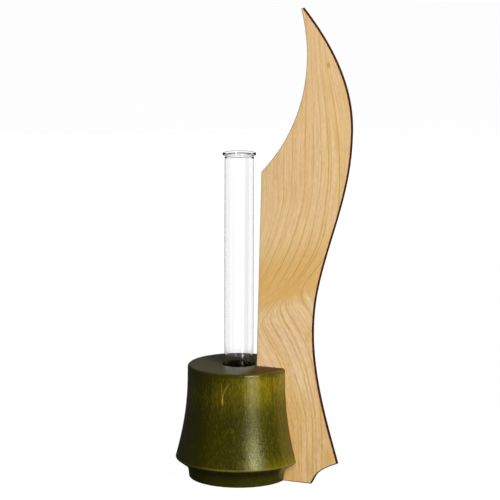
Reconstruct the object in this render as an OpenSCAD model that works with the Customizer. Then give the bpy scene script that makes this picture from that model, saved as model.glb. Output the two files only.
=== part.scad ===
// Bud vase: a turned wooden base with a glass tube in its socket and a tall curved blade,
// cut from a veneered sheet, glued in a slot beside the tube.
// The origin is the centre of the base's underside, +Z runs up the tube, and the blade
// stands in the XZ plane on the +X side. All lengths are millimetres.

/* [Base] */
// Height of the turned base
base_h = 83.1; // [66:0.1:110]
// Diameter of the top, where the flare ends
top_d = 73.9; // [66:0.1:84]
// Radius of the rounding round the top face
top_round = 2.2; // [0.4:0.1:3]
// Diameter across the wide lip
lip_d = 91.3; // [84:0.1:106]
// Height of the lip above the floor
lip_h = 14.8; // [11:0.1:22]
// Radius of the rounding along the lip
lip_round = 1.2; // [0.6:0.1:2.5]
// Angle of the lip's underside above the horizontal
lip_under = 36; // [26:1:46]
// Angle of the flare from the vertical where it leaves the lip
flare_lean = 15.2; // [8:0.1:22]
// Diameter of the foot at the floor
foot_d = 72; // [62:0.1:78]
// Outward lean of the foot's side from the vertical
foot_lean = 5.7; // [0:0.1:10]
// Bevel round the foot's lower edge
foot_break = 0.4; // [0.2:0.1:1]

/* [Socket] */
// Depth of the round socket below the top face
socket_depth = 46.4; // [30:0.1:56]
// Play round the tube, on each side
socket_play = 1; // [0.4:0.1:1.6]
// Bevel round the socket's mouth
mouth_break = 0.8; // [0.2:0.1:1.2]
// Height at which the tube's round end stands above the socket's floor
seat_gap = 0.3; // [0.1:0.1:1]

/* [Glass tube] */
// Outer diameter of the tube
tube_d = 21; // [16:0.5:24]
// Overall length of the tube
tube_len = 200; // [150:1:240]
// Thickness of the glass
glass_t = 1.3; // [0.8:0.1:2]
// Outer diameter of the flared lip, beyond the tube's diameter
rim_flare = 3.1; // [2:0.1:4.5]
// Thickness of the rolled bead round the lip
bead_d = 2.2; // [1.8:0.1:3]
// Height over which the wall bends out to the bead
flare_h = 4.4; // [3.6:0.1:8]

/* [Blade sheet] */
// Thickness of the whole sheet
sheet_t = 3; // [2:0.1:5]
// Thickness of each face veneer
veneer_t = 0.5; // [0.3:0.1:0.8]
// Glue line between the sheet and each side of the slot
glue_gap = 0.1; // [0.05:0.05:0.3]
// Room between the blade's inner edge and the end of the slot
slot_end_gap = 0.2; // [0.1:0.1:1]
// Least wood between the socket and the slot
bridge_w = 1.7; // [1.2:0.1:4]
// Lean of the blade's straight inner edge from the vertical
edge_lean = 1.3; // [0:0.1:3]

/* [Blade outline] */
// Height of the blade's tip
blade_h = 341.8; // [310:0.2:380]
// Reach of the tip from the tube's axis
tip_reach = 48.5; // [40:0.5:58]
// Radius of the rounding at the tip
tip_round = 1; // [0.4:0.1:2]
// Lean of the outer edge from the vertical at the tip
tip_outer_lean = 41; // [28:0.1:48]
// Lean of the inner edge from the vertical at the tip
tip_inner_lean = 15.3; // [8:0.1:22]
// Height of the shoulder, where the straight inner edge ends
shoulder_h = 224.3; // [205:0.1:245]
// Lean of the inner curve from the vertical at the shoulder
shoulder_lean = 43.7; // [34:0.1:54]
// Furthest reach of the blade
bulge_reach = 86.2; // [80:0.1:96]
// Height of the furthest reach
bulge_h = 258; // [235:0.5:275]
// Reach of the outer edge where its curve changes side
flank_reach = 72.2; // [67:0.1:77]
// Height at which the outer edge's curve changes side
flank_h = 183; // [165:0.5:200]
// Lean of the outer edge from the vertical there
flank_lean = 17.2; // [10:0.1:24]
// Reach of the outer edge at the waist
waist_reach = 57.9; // [52:0.1:62]
// Height of the waist
waist_h = 110; // [90:0.5:130]
// Reach of the heel's point
heel_reach = 77.4; // [70:0.1:86]
// Height of the heel's point
heel_h = 16.8; // [14:0.1:22]
// Lean of the outer edge from the vertical at the heel
heel_lean = 16; // [8:0.1:24]
// Reach of the kink under the heel
kink_reach = 61; // [60:0.1:64]
// Height of the kink under the heel
kink_h = 6.8; // [5:0.1:9]
// Reach of the bottom corner
toe_reach = 57.3; // [52:0.1:59]

/* [Hidden] */
$fn = 96;
// Overrun of every cut past the face it opens
cut = 1;
// Straight steps along each curve and round each small arc
curve_steps = 20;
arc_steps = 10;

// Handle lengths of each curve, as shares of the distance between its two ends
cove_shares = [0.49, 0.67];
flare_shares = [0.45, 0.3];
under_heel_shares = [0.34, 0.31];
heel_shares = [0.18, 0.37];
waist_shares = [0.31, 0.51];
flank_shares = [0.42, 0.33];
crest_shares = [0.32, 0.39];
inner_shares = [0.37, 0.36];
rim_shares = [0.4, 0.4];

// Directions of travel along the blade's outline, in degrees from +X towards +Z
under_heel_start = 49.5;
under_heel_end = 21;

// Angles on the rim's bead, from +X towards +Z, where the wall meets it outside and inside
bead_outer_angle = -85;
bead_inner_angle = 175;

base_r = lip_d / 2;
tube_r = tube_d / 2;
bore_r = tube_r - glass_t;
bead_r = bead_d / 2;
rim_r = tube_r + rim_flare / 2;
socket_r = tube_r + socket_play;
socket_floor = base_h - socket_depth;
tube_z = socket_floor + seat_gap;
tube_top = tube_z + tube_len;
core_t = sheet_t - 2 * veneer_t;

function heading(a) = [cos(a), sin(a)];

// Points round part of a circle, both ends included
function arc(centre, r, from, to) =
    [for (i = [0 : arc_steps]) centre + r * heading(from + (to - from) * i / arc_steps)];

// Cubic curve from a to b, leaving a and reaching b in the given headings
function curve(a, a_heading, b, b_heading, shares) =
    let (
        d = norm(b - a),
        p = a + shares[0] * d * heading(a_heading),
        q = b - shares[1] * d * heading(b_heading)
    )
    [for (i = [0 : curve_steps]) let (s = i / curve_steps, t = 1 - s)
        t * t * t * a + 3 * t * t * s * p + 3 * t * s * s * q + s * s * s * b];

// A list without its first and last points, where its neighbours already hold them
function inner(points) = [for (i = [1 : len(points) - 2]) points[i]];

// Half section of the turned base, from the centre of its underside round to the socket's floor
function base_profile() =
    let (
        lip_centre = [base_r - lip_round, lip_h],
        lip = arc(lip_centre, lip_round, lip_under - 90, flare_lean),
        foot = [foot_d / 2, foot_break],
        top_centre = [top_d / 2 - top_round, base_h - top_round]
    )
    concat(
        [[0, 0], [foot_d / 2 - foot_break, 0]],
        curve(foot, 90 - foot_lean, lip[0], lip_under, cove_shares),
        inner(lip),
        curve(lip[arc_steps], 90 + flare_lean, top_centre + [top_round, 0], 90, flare_shares),
        inner(arc(top_centre, top_round, 0, 90)),
        [
            top_centre + [0, top_round],
            [socket_r + mouth_break, base_h],
            [socket_r, base_h - mouth_break],
            [socket_r, socket_floor],
            [0, socket_floor]
        ]
    );

// Reach of the blade's straight inner edge at a height; it is nearest the socket at its floor
function inner_edge(z) = socket_r + bridge_w + slot_end_gap + (z - socket_floor) * tan(edge_lean);

// Front view of the blade, from its inner foot round the heel, up the outer edge and over the tip
function blade_outline() =
    let (
        toe = [toe_reach, 0],
        kink = [kink_reach, kink_h],
        heel = [heel_reach, heel_h],
        waist = [waist_reach, waist_h],
        flank = [flank_reach, flank_h],
        bulge = [bulge_reach, bulge_h],
        shoulder = [inner_edge(shoulder_h), shoulder_h],
        tip_centre = [tip_reach, blade_h - tip_round],
        tip = arc(tip_centre, tip_round, tip_outer_lean, 180 + tip_inner_lean)
    )
    concat(
        [[inner_edge(0), 0], toe],
        curve(kink, under_heel_start, heel, under_heel_end, under_heel_shares),
        inner(curve(heel, 90 + heel_lean, waist, 90, heel_shares)),
        curve(waist, 90, flank, 90 - flank_lean, waist_shares),
        inner(curve(flank, 90 - flank_lean, bulge, 90, flank_shares)),
        curve(bulge, 90, tip[0], 90 + tip_outer_lean, crest_shares),
        inner(tip),
        curve(tip[arc_steps], 270 + tip_inner_lean, shoulder, 270 - shoulder_lean, inner_shares)
    );

// Half section of the glass tube, up its outside, over the bead and down its inside
function tube_profile() =
    let (
        bead_centre = [rim_r - bead_r, tube_top - bead_r],
        bead = arc(bead_centre, bead_r, bead_outer_angle, bead_inner_angle),
        neck = tube_top - flare_h,
        end_centre = [0, tube_z + tube_r]
    )
    concat(
        arc(end_centre, tube_r, -90, 0),
        curve([tube_r, neck], 90, bead[0], 90 + bead_outer_angle, rim_shares),
        inner(bead),
        curve(bead[arc_steps], 90 + bead_inner_angle, [bore_r, neck], 270, rim_shares),
        arc(end_centre, bore_r, 0, -90)
    );

// The space cut out of the base for the sheet, open at its outer side, top and underside
module slot() {
    low = -cut;
    high = base_h + cut;
    width = sheet_t + 2 * glue_gap;
    translate([0, width / 2, 0]) rotate([90, 0, 0]) linear_extrude(height = width)
        polygon([
            [inner_edge(low) - slot_end_gap, low],
            [base_r + cut, low],
            [base_r + cut, high],
            [inner_edge(high) - slot_end_gap, high]
        ]);
}

// One layer of the sheet, between two distances behind the front of the tube's axis plane
module layer(front, thickness) {
    translate([0, front + thickness, 0]) rotate([90, 0, 0]) linear_extrude(height = thickness)
        polygon(blade_outline());
}

module turned_base() {
    color("darkolivegreen") difference() {
        rotate_extrude() polygon(base_profile());
        slot();
    }
}

module blade_core() {
    color("tan") layer(-core_t / 2, core_t);
}

module blade_front_veneer() {
    color("burlywood") layer(-sheet_t / 2, veneer_t);
}

module blade_back_veneer() {
    color("burlywood") layer(core_t / 2, veneer_t);
}

module glass_tube() {
    color("lightcyan", 0.4) rotate_extrude() polygon(tube_profile());
}

turned_base();
blade_core();
blade_front_veneer();
blade_back_veneer();
glass_tube();
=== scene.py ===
import math

import bpy
from mathutils import Matrix, Vector


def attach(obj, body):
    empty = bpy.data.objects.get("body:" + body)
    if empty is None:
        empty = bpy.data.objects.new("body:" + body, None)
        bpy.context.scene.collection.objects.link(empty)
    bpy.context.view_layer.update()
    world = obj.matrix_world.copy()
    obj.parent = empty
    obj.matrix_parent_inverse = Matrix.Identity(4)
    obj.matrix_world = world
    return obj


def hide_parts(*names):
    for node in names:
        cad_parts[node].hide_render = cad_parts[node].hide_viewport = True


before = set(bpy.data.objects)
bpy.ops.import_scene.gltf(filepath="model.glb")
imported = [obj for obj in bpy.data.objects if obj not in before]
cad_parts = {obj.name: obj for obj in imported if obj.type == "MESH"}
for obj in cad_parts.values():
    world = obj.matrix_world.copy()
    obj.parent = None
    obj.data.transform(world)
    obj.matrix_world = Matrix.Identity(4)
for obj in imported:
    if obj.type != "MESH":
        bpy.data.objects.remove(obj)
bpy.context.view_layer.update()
mm = 0.001
print("frame loaded:", ", ".join(sorted(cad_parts)))


# Shader maths: a wire is one socket of a node, and sums on wires become nodes

class Wire:
    def __init__(self, recipe, socket):
        self.recipe = recipe
        self.socket = socket

    def maths(self, operation, *values):
        return self.recipe.add("ShaderNodeMath", {"operation": operation}, dict(enumerate(values)))

    def __add__(self, other):
        return self.maths("ADD", self, other)

    def __sub__(self, other):
        return self.maths("SUBTRACT", self, other)

    def __rsub__(self, other):
        return self.maths("SUBTRACT", other, self)

    def __mul__(self, other):
        return self.maths("MULTIPLY", self, other)

    def __truediv__(self, other):
        return self.maths("DIVIDE", self, other)

    def __rtruediv__(self, other):
        return self.maths("DIVIDE", other, self)

    def __pow__(self, other):
        return self.maths("POWER", self, other)

    def __neg__(self):
        return self.maths("MULTIPLY", self, -1.0)

    def __abs__(self):
        return self.maths("ABSOLUTE", self)

    __radd__ = __add__
    __rmul__ = __mul__

    def fraction(self):
        return self.maths("FRACT", self)

    def atLeast(self, other):
        return self.maths("MAXIMUM", self, other)

    def limited(self):
        return self.recipe.add("ShaderNodeClamp", {}, {"Value": self})

    # 0 below the first value, 1 above the second, with a soft step between them
    def rise(self, start, end):
        ends = {"From Min": start, "From Max": end, "To Min": 0.0, "To Max": 1.0}
        settings = {"interpolation_type": "SMOOTHSTEP"}
        return self.recipe.add("ShaderNodeMapRange", settings, {"Value": self, **ends})

    def fall(self, start, end):
        return 1.0 - self.rise(start, end)

    # 1 between the two middle values, falling softly to 0 at the outer ones
    def within(self, start, full, fading, end):
        return self.rise(start, full) * self.fall(fading, end)

    # 1 at the middle value, falling softly to 0 at the given distance from it
    def hump(self, middle, reach):
        return abs(self - middle).fall(0.0, reach)


class Recipe:
    def __init__(self, tree):
        self.tree = tree
        tree.nodes.clear()

    def add(self, kind, settings, inputs, output=0):
        node = self.tree.nodes.new(kind)
        for name, value in settings.items():
            if name == "stops":
                ramp = node.color_ramp
                while len(ramp.elements) < len(value):
                    ramp.elements.new(1.0)
                for element, (place, colour) in zip(ramp.elements, value):
                    element.position = place
                    element.color = (*colour, 1.0)
            else:
                setattr(node, name, value)
        for name, value in inputs.items():
            socket = node.inputs[name]
            if isinstance(value, Wire):
                self.tree.links.new(value.socket, socket)
            else:
                socket.default_value = value
        return Wire(self, node.outputs[output])

    def blend(self, factor, first, second):
        settings = {"data_type": "RGBA", "clamp_factor": True}
        first, second = (c if isinstance(c, Wire) else (*c, 1.0) for c in (first, second))
        return self.add("ShaderNodeMix", settings, {0: factor, 6: first, 7: second}, output=2)

    def tint(self, colour, factor):
        settings = {"data_type": "RGBA", "blend_type": "MULTIPLY"}
        grey = self.add("ShaderNodeCombineColor", {}, {"Red": factor, "Green": factor, "Blue": factor})
        return self.add("ShaderNodeMix", settings, {0: 1.0, 6: colour, 7: grey}, output=2)

    def split(self, point):
        return [self.add("ShaderNodeSeparateXYZ", {}, {0: point}, output=i) for i in range(3)]

    # Places on the object, in millimetres
    def place(self):
        point = self.add("ShaderNodeTexCoord", {}, {}, output="Object")
        return [part * (1 / mm) for part in self.split(point)]

    # Noise drawn out along the grain: scale across it, share of that along it, detail, roughness
    def grain(self, across, along, up, kind):
        scale, drawn, detail, roughness = kind
        point = self.add("ShaderNodeCombineXYZ", {}, {"X": across, "Y": along, "Z": up * drawn})
        inputs = {"Vector": point, "Scale": scale, "Detail": detail, "Roughness": roughness}
        return self.add("ShaderNodeTexNoise", {"noise_dimensions": "3D"}, inputs)

    def degrees(self, opposite, near):
        turn = self.add("ShaderNodeMath", {"operation": "ARCTAN2"}, {0: opposite, 1: near})
        return turn * (180 / math.pi)

    def bump(self, height, strength, distance):
        inputs = {"Height": height, "Strength": strength, "Distance": distance}
        return self.add("ShaderNodeBump", {}, inputs)

    def finish(self, kind, shader):
        node = self.tree.nodes.new(kind)
        self.tree.links.new(shader.socket, node.inputs[0])


# Parts times their weights, on top of what the weights give for all
def weighed(weights, **parts):
    total = weights.get("all", 0.0)
    for name, part in parts.items():
        total = total + part * weights[name]
    return total


def newMaterial(name):
    material = bpy.data.materials.new(name)
    material.use_nodes = True
    return material, Recipe(material.node_tree)


# Camera, floor, surroundings and lamps

cameraValues = {
    "azimuth": 23.29,
    "elevation": 10.25,
    "roll": -0.18,
    "lens": 194.4,
    "sensor": 36.0,
    "place": (0.7601, -1.7460, 0.5107),
    "clipNear": 0.05,
    "clipFar": 50.0,
}


def setUpCamera():
    v = cameraValues
    swing = Matrix.Rotation(math.radians(v["azimuth"]), 4, "Z")
    tip = Matrix.Rotation(math.radians(90 - v["elevation"]), 4, "X")
    roll = Matrix.Rotation(math.radians(-v["roll"]), 4, "Z")
    bpy.ops.object.camera_add()
    camera = bpy.context.object
    camera.matrix_world = Matrix.Translation(v["place"]) @ swing @ tip @ roll
    camera.data.lens = v["lens"]
    camera.data.sensor_width = v["sensor"]
    camera.data.clip_start = v["clipNear"]
    camera.data.clip_end = v["clipFar"]
    bpy.context.scene.camera = camera


studioValues = {
    "floorRadius": 4.0,
    "floorSides": 96,
    "floorGlow": 0.97,
    "backGlow": 1.03,
    "floorPaint": 0.05,
    "ambient": 0.22,
    "white": (1.0, 1.0, 1.0, 1.0),
    # how far back a line square to the camera's view runs for each step across
    "viewSlant": 0.43,
    # what the varnish and the glass mirror: a dim backdrop, a dark room in front, and a patch of
    # floor lit by the key lamp, by its degrees to each side and its millimetres from the object
    "backGloss": 0.06,
    "frontGloss": 0.01,
    "behind": (-0.25, 0.35),
    "floorGloss": 0.004,
    "keyAzimuth": 53,
    "keyEdge": (2, 8),
    "keyPatchStart": (140, 260),
    "keyPatchEnd": (600, 900),
    "keyPatchFade": 0.8,
    "keyOnFloor": 6.5,
    # what shows through the glass: a white backdrop with two greyer bands, a dark ceiling and front,
    # and a dark ring on the floor behind the object
    "throughBack": 0.98,
    "throughDark": 0.08,
    "wideBand": (119.8, 158.3, 0.12),
    "slimBand": (106.0, 110.7, 0.17),
    "bandSoft": 4.0,
    "backdropTop": (0.15, 0.25),
    "horizon": (0.02, 0.1),
    "ring": (180, 260, 320, 420),
    "ringBehind": (0, 150),
    "ringDepth": 0.95,
    "lampTarget": (0.02, 0.0, 0.15),
}

# Each lamp: azimuth, elevation, distance, width, height, power, and whether shine shows it
lampValues = {
    "keyLamp": (53, 22, 1.5, 0.28, 0.95, 12.5, True),
    "wideLamp": (62, 35, 1.8, 1.1, 1.1, 27.0, False),
    "frontLamp": (5, 10, 1.9, 1.2, 1.0, 15.0, False),
    "backLamp": (203, 5, 1.8, 1.1, 1.1, 26.0, False),
}


# The kinds of ray: camera, glossy, through glass, and how far it met no matt surface on its way
def rayKinds(r):
    names = ("Is Camera Ray", "Is Glossy Ray", "Is Transmission Ray", "Diffuse Depth")
    camera, glossy, passing, matt = (r.add("ShaderNodeLightPath", {}, {}, output=name) for name in names)
    return camera, glossy, passing, 1.0 - matt.limited()


# The backdrop's greyer bands, by the direction that a ray through the glass leaves in
def banded(r, across, along):
    v = studioValues
    angle = r.degrees(along, across)
    level = 1.0
    for start, end, depth in (v["wideBand"], v["slimBand"]):
        soft = min(v["bandSoft"], (end - start) / 3) / 2
        level = level - angle.within(start - soft, start + soft, end - soft, end + soft) * depth
    return level


def setUpFloor():
    v = studioValues
    bpy.ops.mesh.primitive_circle_add(vertices=v["floorSides"], radius=v["floorRadius"], fill_type="NGON")
    floor = bpy.context.object
    floor.name = "studioFloor"
    material, r = newMaterial("floorWhite")
    paint = r.add("ShaderNodeBsdfDiffuse", {}, {"Color": (v["floorPaint"],) * 3 + (1.0,)})
    camera, glossy, passing, clean = rayKinds(r)
    across, along = r.place()[:2]
    reach = (across * across + along * along) ** 0.5

    # the key lamp's patch, for shine
    fromKey = abs(r.degrees(across, -along) - v["keyAzimuth"])
    patch = reach.rise(*v["keyPatchStart"]) * (1.0 - reach.rise(*v["keyPatchEnd"]) * v["keyPatchFade"])
    gloss = v["floorGloss"] + fromKey.fall(*v["keyEdge"]) * patch * v["keyOnFloor"]

    # the bands and the dark ring, for the glass
    ring = reach.within(*v["ring"]) * (along - across * v["viewSlant"]).rise(*v["ringBehind"])
    seen = banded(r, across, along) * (1.0 - ring * v["ringDepth"]) * v["throughBack"]

    level = camera * v["floorGlow"] + glossy * gloss + passing * clean * seen
    glow = r.add("ShaderNodeEmission", {}, {"Color": v["white"], "Strength": level})
    both = r.add("ShaderNodeAddShader", {}, {0: paint, 1: glow})
    clear = r.add("ShaderNodeBsdfTransparent", {}, {})
    under = r.add("ShaderNodeNewGeometry", {}, {}, output="Backfacing")
    r.finish("ShaderNodeOutputMaterial", r.add("ShaderNodeMixShader", {}, {0: under, 1: both, 2: clear}))
    floor.data.materials.append(material)


def setUpSurroundings():
    v = studioValues
    world = bpy.data.worlds.new("studioWorld")
    world.use_nodes = True
    bpy.context.scene.world = world
    r = Recipe(world.node_tree)
    camera, glossy, passing, clean = rayKinds(r)
    across, along, up = r.split(r.add("ShaderNodeTexCoord", {}, {}, output="Generated"))
    behind = (along - across * v["viewSlant"]).rise(*v["behind"])
    backdrop = behind * up.fall(*v["backdropTop"])
    white = backdrop.atLeast(up.fall(*v["horizon"]))
    gloss = v["frontGloss"] + behind * (v["backGloss"] - v["frontGloss"])
    seen = v["throughDark"] + white * banded(r, across, along) * (v["throughBack"] - v["throughDark"])
    plain = (1.0 - camera - glossy - passing).limited()
    level = camera * v["backGlow"] + glossy * gloss + passing * clean * seen + plain * v["ambient"]
    sky = r.add("ShaderNodeBackground", {}, {"Color": v["white"], "Strength": level})
    r.finish("ShaderNodeOutputWorld", sky)


def setUpLamps():
    target = Vector(studioValues["lampTarget"])
    for name, (azimuth, elevation, distance, width, height, power, shines) in lampValues.items():
        a, e = math.radians(azimuth), math.radians(elevation)
        away = Vector((math.sin(a) * math.cos(e), -math.cos(a) * math.cos(e), math.sin(e)))
        bpy.ops.object.light_add(type="AREA", location=target + away * distance)
        lamp = bpy.context.object
        lamp.name = name
        lamp.data.shape = "RECTANGLE"
        lamp.data.size = width
        lamp.data.size_y = height
        lamp.data.energy = power
        lamp.rotation_euler = away.to_track_quat("Z", "Y").to_euler()
        lamp.visible_camera = False
        lamp.visible_glossy = shines
        lamp.visible_transmission = False


bpy.context.scene.view_settings.view_transform = "Standard"
setUpCamera()
setUpFloor()
setUpSurroundings()
setUpLamps()
print("studio ready")


# Outlines, drawn as the real maker would, from a few sizes and Bezier curves

def heading(angle):
    return Vector((math.cos(math.radians(angle)), math.sin(math.radians(angle))))


def arc(centre, radius, start, end, steps=12):
    return [Vector(centre) + radius * heading(start + (end - start) * i / steps) for i in range(steps + 1)]


# The shares give the lengths of the curve's two handles, as parts of the distance between its ends
def curve(first, firstHeading, last, lastHeading, shares, steps=28):
    first, last = Vector(first), Vector(last)
    reach = (last - first).length
    near = first + shares[0] * reach * heading(firstHeading)
    far = last - shares[1] * reach * heading(lastHeading)
    points = []
    for i in range(steps + 1):
        s = i / steps
        t = 1 - s
        points.append(t * t * t * first + 3 * t * t * s * near + 3 * t * s * s * far + s * s * s * last)
    return points


# Editing by hand: a plane becomes one point, and the point is extruded along an outline

mergeWithin = 0.002 * mm
touching = 0.01 * mm


def activate(piece):
    bpy.ops.object.select_all(action="DESELECT")
    piece.select_set(True)
    bpy.context.view_layer.objects.active = piece


def edit(piece, kind="VERT"):
    activate(piece)
    bpy.ops.object.mode_set(mode="EDIT")
    bpy.ops.mesh.select_mode(type=kind)


def drawOutline(name, points):
    bpy.ops.mesh.primitive_plane_add(size=mm, location=points[0])
    piece = bpy.context.object
    piece.name = name
    bpy.ops.object.transform_apply(location=True)
    edit(piece)
    bpy.ops.mesh.select_all(action="SELECT")
    bpy.ops.mesh.merge(type="CENTER")
    for before, after in zip(points, points[1:]):
        bpy.ops.mesh.extrude_vertices_move(TRANSFORM_OT_translate={"value": after - before})
    return piece


# Select, in edit mode, only the vertices, edges or faces that pass a test
def pick(piece, kind, test):
    bpy.ops.object.mode_set(mode="OBJECT")
    mesh = piece.data
    for group in (mesh.vertices, mesh.edges, mesh.polygons):
        for item in group:
            item.select = False
    for item in getattr(mesh, kind):
        item.select = test(item)
    bpy.ops.object.mode_set(mode="EDIT")


def closeUp():
    bpy.ops.mesh.select_all(action="SELECT")
    bpy.ops.mesh.remove_doubles(threshold=mergeWithin)
    bpy.ops.mesh.normals_make_consistent(inside=False)
    bpy.ops.object.mode_set(mode="OBJECT")


def turnOnLathe(steps):
    bpy.ops.mesh.select_all(action="SELECT")
    bpy.ops.mesh.spin(steps=steps, angle=math.tau, center=(0, 0, 0), axis=(0, 0, 1))
    closeUp()


def handOver(piece, body, node, materials):
    for material in materials:
        piece.data.materials.append(material)
    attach(piece, body)
    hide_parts(node)


# Turned base

baseValues = {
    "height": 83.1 * mm,
    "topRadius": 36.95 * mm,
    "topRound": 2.2 * mm,
    "lipRadius": 45.65 * mm,
    "lipHeight": 14.8 * mm,
    "lipRound": 1.2 * mm,
    "lipUnder": 36,
    "flareLean": 15.2,
    "footRadius": 36.0 * mm,
    "footLean": 5.7,
    "footBreak": 0.4 * mm,
    "socketRadius": 11.5 * mm,
    "socketFloor": 36.7 * mm,
    "mouthBreak": 0.8 * mm,
    "coveShares": (0.49, 0.67),
    "flareShares": (0.45, 0.3),
    "slotWidth": 3.2 * mm,
    "slotEnd": 13.2 * mm,
    "edgeLean": 1.3,
    "cutOver": 2 * mm,
    "steps": 192,
    "smoothAngle": 30,
}


# Reach of the slot's inner end at a height; it leans as the sheet's own edge does
def slotReach(height):
    v = baseValues
    return v["slotEnd"] + (height - v["socketFloor"]) * math.tan(math.radians(v["edgeLean"]))


# From the centre of the underside, up the outside and down into the socket
def baseSection():
    v = baseValues
    lipCentre = (v["lipRadius"] - v["lipRound"], v["lipHeight"])
    lip = arc(lipCentre, v["lipRound"], v["lipUnder"] - 90, v["flareLean"])
    rim = (v["topRadius"] - v["topRound"], v["height"] - v["topRound"])
    foot = (v["footRadius"], v["footBreak"])
    section = [Vector((0, 0)), Vector((v["footRadius"] - v["footBreak"], 0))]
    section += curve(foot, 90 - v["footLean"], lip[0], v["lipUnder"], v["coveShares"]) + lip[1:-1]
    section += curve(lip[-1], 90 + v["flareLean"], (v["topRadius"], rim[1]), 90, v["flareShares"])
    section += arc(rim, v["topRound"], 0, 90)[1:]
    section += [Vector(p) for p in (
        (v["socketRadius"] + v["mouthBreak"], v["height"]),
        (v["socketRadius"], v["height"] - v["mouthBreak"]),
        (v["socketRadius"], v["socketFloor"]),
        (0, v["socketFloor"]),
    )]
    return section


# A block as wide as the slot; its inner end's upper corners move out, so that the end leans
def slotBlock():
    v = baseValues
    low, high = -v["cutOver"], v["height"] + v["cutOver"]
    out = v["lipRadius"] + v["cutOver"]
    middle = ((slotReach(low) + out) / 2, 0, (low + high) / 2)
    size = (out - slotReach(low), v["slotWidth"], high - low)
    bpy.ops.mesh.primitive_cube_add(size=1, location=middle, scale=size)
    block = bpy.context.object
    bpy.ops.object.transform_apply(location=True, scale=True)
    edit(block)
    pick(block, "vertices", lambda p: p.co.z > 0 and p.co.x < middle[0])
    bpy.ops.transform.translate(value=(slotReach(high) - slotReach(low), 0, 0))
    bpy.ops.object.mode_set(mode="OBJECT")
    return block


def makeBase():
    v = baseValues
    base = drawOutline("turnedBase", [Vector((x, 0, z)) for x, z in baseSection()])
    turnOnLathe(v["steps"])
    block = slotBlock()
    cut = base.modifiers.new("slot", "BOOLEAN")
    cut.operation = "DIFFERENCE"
    cut.solver = "EXACT"
    cut.object = block
    activate(base)
    bpy.ops.object.modifier_apply(modifier=cut.name)
    bpy.data.objects.remove(block)
    bpy.ops.object.shade_smooth_by_angle(angle=math.radians(v["smoothAngle"]))
    handOver(base, "stand", "turned_base", [makeStainedWood()])
    print("turned base:", len(base.data.polygons), "faces")


# The stain, by millimetres and by degrees round the base from its front, positive towards the blade
stainValues = {
    "dark": (0.03, 0.027, 0.001),
    "olive": (0.078, 0.065, 0.001),
    "yellow": (0.25, 0.174, 0.002),
    "stops": (0.1, 0.42, 0.9),
    "endDark": (0.03, 0.026, 0.012),
    "endPale": (0.084, 0.076, 0.036),
    "endRed": (0.065, 0.026, 0.002),
    "forkPale": (0.36, 0.22, 0.02),
    # the colour of the painted highlight on the lip's crest
    "crestHighlightColour": (0.2, 0.17, 0.02),
    # painted shade inside the socket
    "socketShade": (0.006, 0.005, 0.002),
    # growth rings: the pith and its lean, the width of a ring, and how the late wood comes and goes
    "pith": (-14.0, 48.0, 40.0),
    "pithLean": 0.06,
    "ring": 2.5,
    "waver": (0.045, 0.3, 2.0, 0.5),
    "waverDepth": 9.0,
    "lateWood": (0.35, 1.0),
    "strongRings": (1.0, 0.01, 1.0, 0.5),
    "ringShare": 0.35,
    "ringStep": (0.3, 0.7),
    # each noise: scale across the grain, share of that along it, detail, roughness
    "fibre": (0.75, 0.07, 4.0, 0.62),
    "pore": (1.6, 0.14, 2.0, 0.7),
    "cloud": (0.06, 0.4, 3.0, 0.55),
    "grit": (0.95, 0.7, 2.0, 0.7),
    "mottle": (0.55, 0.45, 3.0, 0.6),
    # where each part of the surface begins and ends, or its middle and its reach
    "east": (2.0, 46.0),
    "farEast": (46.0, 70.0),
    # painted light on the right side, towards the lamps
    "right": (22.0, 56.0),
    # painted shade on the west side, away from the lamps
    "west": (-26.0, 4.0),
    "high": (48.0, 72.0),
    "collar": (64.0, 18.0),
    "stripe": (12.0, 18.0),
    "lip": (12.0, 13.5, 15.0, 25.0),
    # the lip's crest, where a highlight is painted
    "crest": (14.7, 1.4),
    # painted shade under the lip, down to the foot
    "foot": (11.0, 14.0),
    # painted dark reflection on the top's rounded edge
    "topEdge": (79.0, 82.0),
    "end": (82.5, 83.0),
    "endBySheet": (10.0, 24.0),
    "endRough": (12.0, 22.0),
    # the socket's painted shade, by the square of the distance from its axis, and its fading towards the
    # mouth by height
    "socket": (130.0, 139.0),
    "socketMouth": (40.0, 82.0),
    "mouthLight": 0.4,
    # how much each thing lightens the stain's tone, which runs from dark to yellow; light on the right side
    # and on the lip there, shade to the west and under the lip, and a dark reflection on the top edge are
    # painted
    "tone": {
        "all": 0.1, "right": 0.09, "high": 0.05, "west": -0.06, "lip": 0.02, "lipRight": 0.24,
        "patch": 0.4, "patchFarEast": -0.13, "patchMottle": 0.5, "collar": 0.16, "cloud": 0.35,
        "mottle": 0.25, "fibre": 0.62, "pore": 0.85, "grit": 0.4, "late": -0.09, "topEdge": -0.35,
        "foot": -0.12,
    },
    # darkening: painted shade on the west side, and a darker stripe below
    "shade": {"all": 1.0, "west": -0.3, "stripe": -0.2},
    # the painted highlight on the lip's crest: its grain, and how it weakens on the shaded west
    "crestHighlightGrain": {"all": 0.25, "fibre": 0.5},
    "crestHighlightWest": {"all": 1.0, "west": -0.7},
    "endGrain": {"fibre": 0.5, "late": 0.5},
    "relief": {"fibre": 0.3, "pore": 0.3, "grit": 0.8},
    "bump": (0.5, 0.4 * mm),
    "varnishRoughness": {"all": 0.17, "pore": 0.1},
    "endRoughness": {"all": 0.28, "pore": 0.1, "bySheet": 0.35},
}

# The small fork of pale grain on the front: a short body, a leg that bends out and one that leans back
forkValues = {
    "place": 3.5,
    "height": 63.5,
    "front": (-20.0, -10.0),
    "bodyWidth": 1.6,
    "bodyHeight": (62.5, 3.6),
    "legHeight": (62.5, 64.5, 72.0, 79.0),
    "legs": {"right": 0.7, "left": 0.56},
    "rightWidth": 0.9,
    "leftWidth": 0.8,
    "bend": 0.028,
    "lean": 0.07,
    "grain": {"all": 0.5, "fibre": 0.7},
    "cover": 0.8,
}


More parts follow.
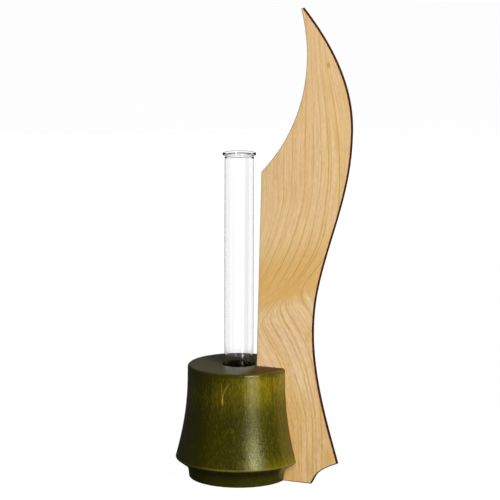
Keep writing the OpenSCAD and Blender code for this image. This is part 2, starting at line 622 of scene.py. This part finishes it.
def paleFork(across, along, up, fibre):
    v = forkValues
    swing = across - v["place"]
    climb = (up - v["height"]).atLeast(0.0)
    right = (swing - climb * climb * v["bend"]).hump(0.0, v["rightWidth"])
    left = (swing + climb * v["lean"]).hump(0.0, v["leftWidth"])
    body = swing.hump(0.0, v["bodyWidth"]) * up.hump(*v["bodyHeight"])
    legs = weighed(v["legs"], right=right, left=left) * up.within(*v["legHeight"])
    fork = (legs + body) * along.fall(*v["front"]) * weighed(v["grain"], fibre=fibre)
    return fork.limited() * v["cover"]


def makeStainedWood():
    v = stainValues
    material, r = newMaterial("olive_stained_wood")
    across, along, up = r.place()
    azimuth = r.degrees(across, -along)

    # growth rings round the pith, wavy as in a real trunk
    pithX, pithY, pithZ = v["pith"]
    waver = r.grain(across, along, up, v["waver"]) - 0.5
    fromPith = across - pithX + (up - pithZ) * v["pithLean"]
    beside = along - pithY
    growth = ((fromPith * fromPith + beside * beside) ** 0.5 + waver * v["waverDepth"]) / v["ring"]
    strong = r.grain(growth * v["ringShare"], 0.0, up, v["strongRings"]).rise(*v["ringStep"])
    late = growth.fraction().rise(*v["lateWood"]) * strong

    # long fibres, short pores and soft clouds that the stain soaked into unevenly
    names = ("fibre", "pore", "cloud", "grit", "mottle")
    fibre, pore, cloud, grit, mottle = (r.grain(across, along, up, v[name]) for name in names)

    # lighter high on the side by the blade and along the lip, with painted light on the side towards the
    # lamps and on the lip there
    east = azimuth.rise(*v["east"])
    west = azimuth.fall(*v["west"])
    high = up.rise(*v["high"])
    right = azimuth.rise(*v["right"])
    patch = high * east
    lip = up.within(*v["lip"])
    tone = weighed(
        v["tone"], right=right, high=high, west=west, lip=lip, lipRight=lip * right, patch=patch,
        patchFarEast=patch * azimuth.rise(*v["farEast"]), patchMottle=patch * (mottle - 0.5),
        collar=up.hump(*v["collar"]) * (1.0 - east), cloud=cloud - 0.5, mottle=mottle - 0.5,
        fibre=fibre - 0.5, pore=pore - 0.5, grit=grit - 0.5, late=late,
        topEdge=up.rise(*v["topEdge"]), foot=up.fall(*v["foot"]),
    )

    # the turned side: painted shade to the west, darker in a stripe below, pale at the fork, a painted
    # highlight on the lip's crest
    stops = list(zip(v["stops"], (v["dark"], v["olive"], v["yellow"])))
    side = r.add("ShaderNodeValToRGB", {"stops": stops}, {"Fac": tone})
    side = r.tint(side, weighed(v["shade"], west=west, stripe=azimuth.hump(*v["stripe"]) * (1.0 - high)))
    side = r.blend(paleFork(across, along, up, fibre), side, v["forkPale"])
    crestHighlight = up.hump(*v["crest"]) * weighed(v["crestHighlightGrain"], fibre=fibre) * weighed(v["crestHighlightWest"], west=west)
    side = r.blend(crestHighlight, side, v["crestHighlightColour"])

    # the end grain on top, redder beside the sheet, and painted shade in the socket, fading towards its
    # mouth
    end = r.blend(weighed(v["endGrain"], fibre=fibre, late=late).limited(), v["endPale"], v["endDark"])
    end = r.blend(across.rise(*v["endBySheet"]), end, v["endRed"])
    isEnd = up.rise(*v["end"])
    colour = r.blend(isEnd, side, end)
    inside = (across * across + along * along).fall(*v["socket"])
    colour = r.blend(inside * (1.0 - up.rise(*v["socketMouth"]) * v["mouthLight"]), colour, v["socketShade"])

    bump = r.bump(weighed(v["relief"], fibre=fibre, pore=pore, grit=grit), *v["bump"])
    varnished = r.add("ShaderNodeBsdfPrincipled", {}, {
        "Base Color": colour,
        "Roughness": weighed(v["varnishRoughness"], pore=pore),
        "Specular IOR Level": 0.87,
        "Specular Tint": (1.0, 0.96, 0.5, 1.0),
        "IOR": 1.5,
        "Normal": bump,
    })
    matt = r.add("ShaderNodeBsdfPrincipled", {}, {
        "Base Color": colour,
        "Roughness": weighed(v["endRoughness"], pore=pore, bySheet=across.rise(*v["endRough"])),
        "Specular IOR Level": 0.3,
        "IOR": 1.45,
        "Normal": bump,
    })
    r.finish("ShaderNodeOutputMaterial", r.add("ShaderNodeMixShader", {}, {0: isEnd, 1: varnished, 2: matt}))
    return material


# Curved blade, three glued layers

bladeValues = {
    "thickness": 3.0 * mm,
    "veneer": 0.5 * mm,
    "arris": 0.4 * mm,
    "arrisSteps": 3,
    "scorchMargin": 0.25 * mm,
    "smoothAngle": 13,
    "footReach": 57.3 * mm,
    "kink": (61.0 * mm, 6.8 * mm),
    "heel": (77.4 * mm, 16.8 * mm),
    "heelLean": 16,
    "underHeel": (49.5, 21),
    "waist": (57.9 * mm, 110.0 * mm),
    "flank": (72.2 * mm, 183.0 * mm),
    "flankLean": 17.2,
    "bulge": (86.2 * mm, 258.0 * mm),
    "tip": (48.5 * mm, 340.8 * mm),
    "tipRound": 1.0 * mm,
    "tipOuterLean": 41,
    "tipInnerLean": 15.3,
    "shoulder": 224.3 * mm,
    "shoulderLean": 43.7,
    "slotGap": 0.2 * mm,
    "underHeelShares": (0.34, 0.31),
    "heelShares": (0.18, 0.37),
    "waistShares": (0.31, 0.51),
    "flankShares": (0.42, 0.33),
    "crestShares": (0.32, 0.39),
    "innerShares": (0.37, 0.36),
}


def innerEdge(height):
    return Vector((slotReach(height) + bladeValues["slotGap"], height))


# From the inner foot round the heel, up the outer edge, over the tip and down to the shoulder
def bladeOutline():
    v = bladeValues
    tip = arc(v["tip"], v["tipRound"], v["tipOuterLean"], 180 + v["tipInnerLean"])
    heelStart, heelEnd = v["underHeel"]
    flankUp, heelUp = 90 - v["flankLean"], 90 + v["heelLean"]
    shoulder = innerEdge(v["shoulder"])
    points = [innerEdge(0), Vector((v["footReach"], 0))]
    points += curve(v["kink"], heelStart, v["heel"], heelEnd, v["underHeelShares"])
    points += curve(v["heel"], heelUp, v["waist"], 90, v["heelShares"])[1:-1]
    points += curve(v["waist"], 90, v["flank"], flankUp, v["waistShares"])
    points += curve(v["flank"], flankUp, v["bulge"], 90, v["flankShares"])[1:-1]
    points += curve(v["bulge"], 90, tip[0], 90 + v["tipOuterLean"], v["crestShares"])
    points += tip[1:-1]
    points += curve(tip[-1], 270 + v["tipInnerLean"], shoulder, 270 - v["shoulderLean"], v["innerShares"])
    return points


# Round the edges of the side that shows, and set a narrow scorched margin off on its face
def softenSide(layer, showing):
    v = bladeValues

    def onSide(corner):
        return abs(layer.data.vertices[corner].co.y - showing) < touching

    edit(layer, "EDGE")
    pick(layer, "edges", lambda e: onSide(e.vertices[0]) and onSide(e.vertices[1]))
    bpy.ops.mesh.bevel(offset=v["arris"], segments=v["arrisSteps"], affect="EDGES", clamp_overlap=False)
    bpy.ops.mesh.select_mode(type="FACE")
    pick(layer, "polygons", lambda f: abs(f.center.y - showing) < touching)
    bpy.ops.mesh.inset(thickness=v["scorchMargin"])
    bpy.ops.object.mode_set(mode="OBJECT")


def makeLayer(name, front, thickness, showing):
    layer = drawOutline(name, [Vector((x, front, z)) for x, z in bladeOutline()])
    bpy.ops.mesh.select_all(action="SELECT")
    bpy.ops.mesh.edge_face_add()
    bpy.ops.mesh.extrude_region_move(TRANSFORM_OT_translate={"value": (0, thickness, 0)})
    closeUp()
    if showing is not None:
        softenSide(layer, showing)
    # maple on the broad sides, which have many corners, and scorch on the faces of the cut and the margin
    for face in layer.data.polygons:
        face.material_index = 0 if len(face.vertices) > 4 else 1
    activate(layer)
    bpy.ops.object.shade_smooth_by_angle(angle=math.radians(bladeValues["smoothAngle"]))
    return layer


def makeBlade():
    v = bladeValues
    half, core = v["thickness"] / 2, v["thickness"] / 2 - v["veneer"]
    scorched = makeScorchedEdge()
    maple = makeMaple()
    layers = (
        ("frontVeneer", "blade_front_veneer", "pale_veneer", -half, v["veneer"], -half),
        ("sheetCore", "blade_core", "sheet_core", -core, 2 * core, None),
        ("backVeneer", "blade_back_veneer", "pale_veneer", core, v["veneer"], half),
    )
    for name, node, slot, front, thickness, showing in layers:
        layer = makeLayer(name, front, thickness, showing)
        handOver(layer, "stand", node, [maple, scorched])
    print("blade:", len(layers), "layers")


# The veneer's grain, in millimetres: lines that run up the blade, bent at a knee and drawn together
# to the tip
grainValues = {
    "pale": (0.687, 0.496, 0.27),
    "line": (0.62, 0.375, 0.12),
    "honey": (0.615, 0.352, 0.095),
    "rosy": (0.66, 0.435, 0.25),
    # the knee: its height, the place it is measured at, its tilt, and how soft the bend is
    "kneeHeight": 123.0,
    "kneeFrom": 28.0,
    "kneeTilt": 0.8,
    "kneeSoft": 8.0,
    "kneeSide": (-0.01, 0.01),
    # how far the lines shift there, and how that dies away above and below
    "shift": 22.7,
    "shiftFrom": 45.0,
    "shiftFall": 0.7,
    "reachAbove": 71.0,
    "powerAbove": 1.42,
    "reachBelow": 85.0,
    "powerBelow": 0.8,
    "keptBelow": 0.8,
    "cusp": 8.4,
    "cuspRise": 0.12,
    "cuspAbove": 7.5,
    "cuspBelow": 40.0,
    "fanHeight": 235.0,
    "fanMiddle": 52.0,
    "fanLength": 84.0,
    # strong growth lines above and below the knee: place across the grain, width, strength
    "upperLines": (
        (21.8, 0.7, 0.5), (27.2, 0.6, 0.6), (30.7, 0.6, 0.6), (34.8, 0.7, 0.9), (41.4, 0.8, 0.9),
        (43.6, 0.6, 0.6), (51.2, 0.9, 1.0), (57.7, 0.8, 0.8), (63.6, 0.8, 0.9), (69.2, 0.8, 1.0),
        (71.2, 0.7, 0.8), (77.4, 0.8, 0.9),
    ),
    "lowerLines": (
        (59.5, 0.35, 0.6), (61.3, 0.35, 0.6), (63.3, 0.4, 0.7), (65.1, 0.3, 0.7), (65.9, 0.3, 0.7),
        (67.8, 0.4, 0.8), (69.8, 0.4, 0.9), (70.9, 0.4, 0.9), (72.8, 0.45, 1.0), (77.6, 0.5, 1.0),
    ),
    "linesChange": (128.0, 158.0),
    "waver": (0.035, 1.0, 2.0, 0.5),
    "waverAbove": 1.6,
    "waverBelow": 0.64,
    "strength": (0.35, 0.12, 2.0, 0.5),
    "strengthShare": 0.5,
    "strengthStep": (0.25, 0.65),
    "lineStrength": {"all": 0.45, "strength": 0.55},
    # each noise: scale across the grain, share of that along it, detail, roughness
    "streak": (0.55, 0.012, 3.0, 0.6),
    "fine": (1.4, 0.03, 3.0, 0.7),
    "fleck": (2.6, 0.1, 1.0, 0.6),
    "cloud": (0.16, 0.12, 2.0, 0.5),
    "cloudShare": 0.35,
    "patch": (0.05, 0.5, 2.0, 0.5),
    "patchStep": (0.42, 0.62),
    # parts of the blade; the band above the knee and the clear wood below it end on slopes
    "slopeFrom": 20.0,
    "steep": 0.4,
    "slight": 0.3,
    "bandStart": (121.0, 130.0),
    "bandEnd": (146.0, 180.0),
    "clearStart": (50.0, 80.0),
    "clearEnd": (114.0, 126.0),
    "footAcross": (38.0, 58.0),
    "footFade": 0.7,
    "footUp": (45.0, 95.0),
    "rimAcross": (70.0, 86.0),
    "rimUp": (150.0, 200.0),
    # where the painted shade towards the tip begins and ends
    "high": (150.0, 260.0),
    # round marks: place across and its reach, height and its reach
    "spot": (54.0, 5.0, 107.0, 11.0),
    "heel": (71.0, 6.0, 21.0, 9.0),
    "knot": (68.3, 1.8, 302.6, 3.2),
    # how much each thing adds to the honey colour, to the dark lines, to the lightness and to the relief
    "rosyCover": 0.6,
    "warm": {
        "cloud": 0.9, "band": 0.5, "bandStreak": 0.5, "foot": 0.7, "rim": 0.3, "marks": 0.8, "clear": -0.25,
    },
    "dark": {"all": 0.3, "clear": -0.22, "lines": 0.75, "knot": 0.7, "streak": 1.6, "fine": 1.2},
    # the lightness, with painted shade towards the tip
    "shade": {
        "all": 1.0, "clear": 0.03, "upper": -0.12, "upperInBand": -0.14, "lower": -0.13, "knot": -0.3,
        "high": -0.05, "fine": -0.5, "fleck": -0.45,
    },
    "relief": {"fine": 0.6, "fleck": 0.4, "lines": -0.2},
    "bump": (0.15, 0.2 * mm),
    "roughness": {"all": 0.46, "fine": 0.14},
}


# Where a point lies across the grain, once the knee and the fan to the tip are straightened out
def grainFlow(r, across, up):
    v = grainValues
    climb = up - v["kneeHeight"] - (across - v["kneeFrom"]) * v["kneeTilt"]
    far = (climb * climb + v["kneeSoft"] ** 2) ** 0.5 - v["kneeSoft"]
    above = climb.rise(*v["kneeSide"])
    shareAbove = (1.0 - far / v["reachAbove"]).limited() ** v["powerAbove"]
    shareBelow = (1.0 - far / v["reachBelow"]).limited() ** v["powerBelow"]
    shareBelow = v["keptBelow"] + shareBelow * (1.0 - v["keptBelow"])
    share = shareBelow + above * (shareAbove - shareBelow)
    fade = v["cuspBelow"] + above * (v["cuspAbove"] - v["cuspBelow"])
    cusp = r.add("ShaderNodeMath", {"operation": "EXPONENT"}, {0: -far / fade})
    bent = (v["shift"] - (across - v["shiftFrom"]) * v["shiftFall"]) * share
    bent = bent + (v["cusp"] + (across - v["shiftFrom"]) * v["cuspRise"]) * cusp
    over = ((up - v["fanHeight"]) / v["fanLength"]).limited()
    return v["fanMiddle"] + (across - v["fanMiddle"]) * (1.0 + over * over) + bent


def growthLines(flow, lines, waver):
    total = 0.0
    for middle, width, strength in lines:
        total = total + (flow + waver).hump(middle, width) * strength
    return total


def roundMark(across, up, mark):
    middle, width, height, length = mark
    return across.hump(middle, width) * up.hump(height, length)


def makeMaple():
    v = grainValues
    material, r = newMaterial("pale_maple")
    across, along, up = r.place()
    flow = grainFlow(r, across, up)

    # growth lines, closer and finer below the knee
    waver = r.grain(across, 0.0, up, v["waver"]) - 0.5
    strength = r.grain(flow * v["strengthShare"], 0.0, up, v["strength"]).rise(*v["strengthStep"])
    above = up.rise(*v["linesChange"])
    upper = growthLines(flow, v["upperLines"], waver * v["waverAbove"]) * above
    lower = growthLines(flow, v["lowerLines"], waver * v["waverBelow"]) * (1.0 - above)
    lines = (upper + lower) * weighed(v["lineStrength"], strength=strength)

    # fine streaks, fibres and flecks that follow the same flow
    names = ("streak", "fine", "fleck")
    streak, fine, fleck = (r.grain(flow, along, up, v[name]) for name in names)
    cloud = r.grain(flow * v["cloudShare"], 0.0, up, v["cloud"])
    patch = r.grain(across, 0.0, up, v["patch"]).rise(*v["patchStep"])

    # honey-coloured above the knee, clearer and paler below it
    steep, slight = (up - (across - v["slopeFrom"]) * v[slope] for slope in ("steep", "slight"))
    band = steep.rise(*v["bandStart"]) * slight.fall(*v["bandEnd"])
    clear = up.rise(*v["clearStart"]) * slight.fall(*v["clearEnd"])
    foot = (1.0 - across.rise(*v["footAcross"]) * v["footFade"]) * up.fall(*v["footUp"])
    rim = across.rise(*v["rimAcross"]) * up.rise(*v["rimUp"])
    marks = roundMark(across, up, v["spot"]) + roundMark(across, up, v["heel"])
    knot = roundMark(across, up, v["knot"])
    warm = weighed(
        v["warm"], cloud=cloud - 0.5, band=band, bandStreak=band * streak, foot=foot, rim=rim,
        marks=marks, clear=clear,
    )
    dark = weighed(v["dark"], clear=clear, lines=lines, knot=knot, streak=streak - 0.5, fine=fine - 0.5)
    # lightness, darker towards the tip by painted shade
    shade = weighed(
        v["shade"], clear=clear, upper=upper, upperInBand=upper * band, lower=lower, knot=knot,
        high=up.rise(*v["high"]), fine=fine - 0.5, fleck=fleck - 0.5,
    )
    colour = r.blend(patch * v["rosyCover"], v["pale"], v["rosy"])
    colour = r.blend(warm.limited(), colour, v["honey"])
    colour = r.blend(dark.limited(), colour, v["line"])
    relief = weighed(v["relief"], fine=fine, fleck=fleck, lines=lines)
    shader = r.add("ShaderNodeBsdfPrincipled", {}, {
        "Base Color": r.tint(colour, shade),
        "Roughness": weighed(v["roughness"], fine=fine),
        "IOR": 1.4,
        "Normal": r.bump(relief, *v["bump"]),
    })
    r.finish("ShaderNodeOutputMaterial", shader)
    return material


scorchValues = {
    "black": (0.018, 0.003, 0.001),
    "brown": (0.06, 0.012, 0.001),
    "tan": (0.4, 0.29, 0.18),
    "char": (0.8, 1.0, 3.0, 0.5),
    "alongShare": 0.2,
    # the line between the inner and the outer edge: its reach, and how that changes up the blade
    "divide": {"all": 40.0, "bulge": 20.0, "tip": -11.0},
    "bulge": (200.0, 250.0),
    "tip": (300.0, 341.0),
    "divideSoft": (-0.5, 0.5),
    "face": (1.15, 1.3),
    "tanCover": 0.85,
    "bump": (0.3, 0.2 * mm),
    "roughness": {"all": 0.6, "char": 0.2},
}


def makeScorchedEdge():
    v = scorchValues
    material, r = newMaterial("scorched_edge")
    across, along, up = r.place()
    char = r.grain(across, along * v["alongShare"], up, v["char"])
    colour = r.blend(char, v["black"], v["brown"])

    # on the face, by the inner edge, the cut left the wood only tanned
    divide = weighed(v["divide"], bulge=up.rise(*v["bulge"]), tip=up.rise(*v["tip"]))
    inner = (across - divide).fall(*v["divideSoft"])
    colour = r.blend(inner * abs(along).rise(*v["face"]) * v["tanCover"], colour, v["tan"])
    shader = r.add("ShaderNodeBsdfPrincipled", {}, {
        "Base Color": colour,
        "Roughness": weighed(v["roughness"], char=char),
        "Specular IOR Level": 0.15,
        "Normal": r.bump(char, *v["bump"]),
    })
    r.finish("ShaderNodeOutputMaterial", shader)
    return material


# Glass tube

tubeValues = {
    "radius": 10.5 * mm,
    "glass": 1.3 * mm,
    "low": 37.0 * mm,
    "high": 237.0 * mm,
    "flareHeight": 4.4 * mm,
    "rimRadius": 12.05 * mm,
    "beadRadius": 1.1 * mm,
    "beadOuter": -85,
    "beadInner": 175,
    "rimShares": (0.4, 0.4),
    "endSteps": 24,
    "beadSteps": 20,
    "flareSteps": 12,
    "steps": 128,
    # the faint waviness along the glass, from its drawing
    "drawing": (0.3, 0.02, 1.0, 0.5),
    "bump": (0.02, 0.2 * mm),
}


# Up the outside from the round end, over the bead and down the inside
def tubeSection():
    v = tubeValues
    bore = v["radius"] - v["glass"]
    neck = v["high"] - v["flareHeight"]
    middle = (0, v["low"] + v["radius"])
    beadMiddle = (v["rimRadius"] - v["beadRadius"], v["high"] - v["beadRadius"])
    beadOut, beadIn = 90 + v["beadOuter"], 90 + v["beadInner"]
    bead = arc(beadMiddle, v["beadRadius"], v["beadOuter"], v["beadInner"], v["beadSteps"])
    section = arc(middle, v["radius"], -90, 0, v["endSteps"])
    section += curve((v["radius"], neck), 90, bead[0], beadOut, v["rimShares"], v["flareSteps"])
    section += bead[1:-1]
    section += curve(bead[-1], beadIn, (bore, neck), 270, v["rimShares"], v["flareSteps"])
    section += arc(middle, bore, 0, -90, v["endSteps"])
    return section


def makeTube():
    tube = drawOutline("glassTube", [Vector((x, 0, z)) for x, z in tubeSection()])
    turnOnLathe(tubeValues["steps"])
    activate(tube)
    bpy.ops.object.shade_smooth()
    handOver(tube, "tube", "glass_tube", [makeGlass()])
    print("glass tube:", len(tube.data.polygons), "faces")


def makeGlass():
    v = tubeValues
    material, r = newMaterial("clear_glass")
    across, along, up = r.place()
    shader = r.add("ShaderNodeBsdfPrincipled", {}, {
        "Base Color": (1.0, 1.0, 1.0, 1.0),
        "Roughness": 0.0,
        "IOR": 1.47,
        "Transmission Weight": 1.0,
        "Normal": r.bump(r.grain(across, along, up, v["drawing"]), *v["bump"]),
    })
    r.finish("ShaderNodeOutputMaterial", shader)
    return material


makeBase()
makeBlade()
makeTube()
